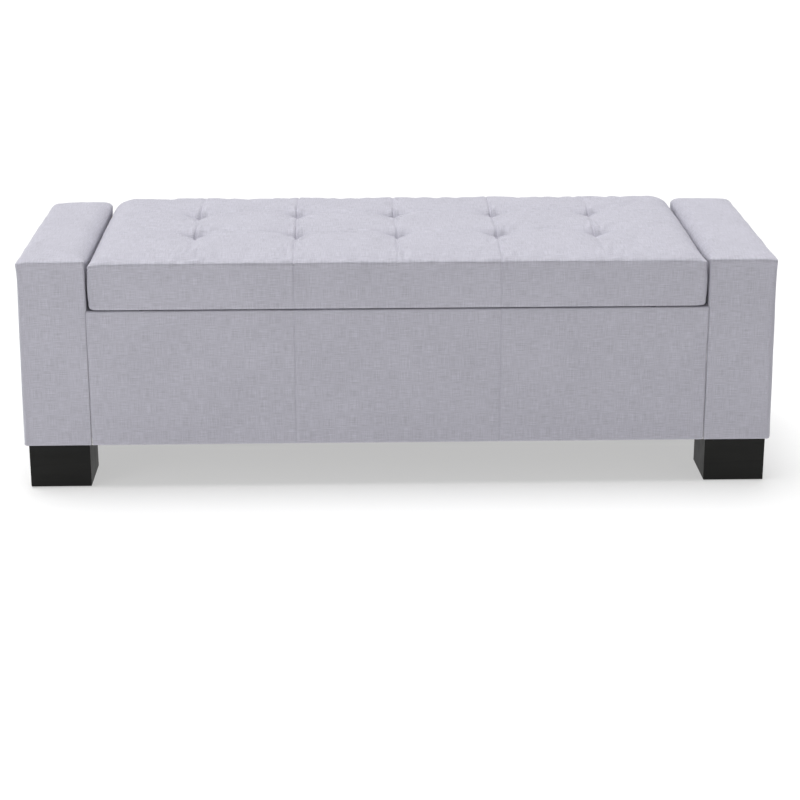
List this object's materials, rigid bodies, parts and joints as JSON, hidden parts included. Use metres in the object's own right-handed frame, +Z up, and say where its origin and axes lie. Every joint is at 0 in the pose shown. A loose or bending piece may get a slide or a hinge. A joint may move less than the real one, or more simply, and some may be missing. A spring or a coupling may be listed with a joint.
{
  "type": "storage bench",
  "caption": "Upholstered storage bench with a hinged, tufted lid between two padded arms, on square block feet.",
  "frame": {"origin": "on the floor, under the middle of the bench", "axes": "+X along the bench to the right arm as seen from the front, -Y out of the front, +Z up"},
  "size_m": [1.302, 0.455, 0.423],
  "materials": {
    "grey_fabric": "woven linen-look polyester, light grey with a cool tint",
    "plywood": "sanded plywood, bare",
    "hardboard": "smooth fibreboard, bare",
    "softwood": "planed pine, bare",
    "black_wood": "black satin lacquer",
    "foam": "open-cell upholstery foam",
    "wadding": "white polyester wadding",
    "black_felt": "black non-woven cloth",
    "zinc_steel": "bright zinc plate",
    "black_rubber": "soft black rubber",
    "glide_plastic": "black moulded plastic",
    "twine": "waxed nylon twine"
  },
  "bodies": {
    "carcass": {"front_board": "plywood", "back_board": "plywood", "storage_floor": "hardboard", "front_rail": "softwood", "hinge_rail": "softwood", "floor_battens": "softwood", "left_arm_inner_board": "plywood", "left_arm_outer_board": "plywood", "left_arm_front_board": "plywood", "left_arm_rear_board": "plywood", "left_arm_top_board": "plywood", "left_arm_foam": "foam", "left_arm_wadding": "wadding", "left_arm_cover": "grey_fabric", "right_arm_inner_board": "plywood", "right_arm_outer_board": "plywood", "right_arm_front_board": "plywood", "right_arm_rear_board": "plywood", "right_arm_top_board": "plywood", "right_arm_foam": "foam", "right_arm_wadding": "wadding", "right_arm_cover": "grey_fabric", "front_wadding": "wadding", "front_cover": "grey_fabric", "back_cover": "grey_fabric", "storage_liner": "black_felt", "front_left_foot": "black_wood", "front_right_foot": "black_wood", "rear_left_foot": "black_wood", "rear_right_foot": "black_wood", "foot_blocks": "softwood", "foot_bolts": "zinc_steel", "foot_nuts": "zinc_steel", "foot_glides": "glide_plastic", "underside_cover": "black_felt", "hinge_box_leaves": "zinc_steel", "hinge_pins": "zinc_steel", "left_stay_wall_bracket": "zinc_steel", "right_stay_wall_bracket": "zinc_steel", "box_screws": "zinc_steel", "panel_screws": "zinc_steel", "lid_bumpers": "black_rubber"},
    "lid": {"lid_board": "plywood", "lid_foam": "foam", "lid_cover": "grey_fabric", "lid_underside_cover": "black_felt", "tuft_ties": "twine", "tuft_washers": "zinc_steel", "hinge_lid_leaves": "zinc_steel", "left_stay_lid_bracket": "zinc_steel", "right_stay_lid_bracket": "zinc_steel", "lid_screws": "zinc_steel"},
    "left_lower_arm": {"left_stay_lower_arm": "zinc_steel", "left_stay_middle_rivet": "zinc_steel"},
    "right_lower_arm": {"right_stay_lower_arm": "zinc_steel", "right_stay_middle_rivet": "zinc_steel"},
    "left_upper_arm": {"left_stay_upper_arm": "zinc_steel"},
    "right_upper_arm": {"right_stay_upper_arm": "zinc_steel"}
  },
  "joints": [
    {"name": "lid_hinge", "type": "hinge", "parent": "carcass", "child": "lid", "pos_m": [0, 0.223, 0.323], "axis": [-1, 0, 0], "range_deg": [0, 95]},
    {"name": "left_lower_pivot", "type": "hinge", "parent": "carcass", "child": "left_lower_arm", "pos_m": [-0.531, 0.165, 0.253], "axis": [-1, 0, 0], "range_deg": [0, 95]},
    {"name": "right_lower_pivot", "type": "hinge", "parent": "carcass", "child": "right_lower_arm", "pos_m": [0.531, 0.165, 0.253], "axis": [-1, 0, 0], "range_deg": [0, 95]},
    {"name": "left_upper_pivot", "type": "hinge", "parent": "lid", "child": "left_upper_arm", "pos_m": [-0.527, 0.053, 0.31], "axis": [-1, 0, 0], "range_deg": [-95, 0]},
    {"name": "right_upper_pivot", "type": "hinge", "parent": "lid", "child": "right_upper_arm", "pos_m": [0.527, 0.053, 0.31], "axis": [-1, 0, 0], "range_deg": [-95, 0]}
  ],
  "couplings": [
    {"joint": "left_lower_pivot", "follows": "lid_hinge", "ratio": 1},
    {"joint": "right_lower_pivot", "follows": "lid_hinge", "ratio": 1},
    {"joint": "left_upper_pivot", "follows": "lid_hinge", "ratio": -1},
    {"joint": "right_upper_pivot", "follows": "lid_hinge", "ratio": -1}
  ]
}
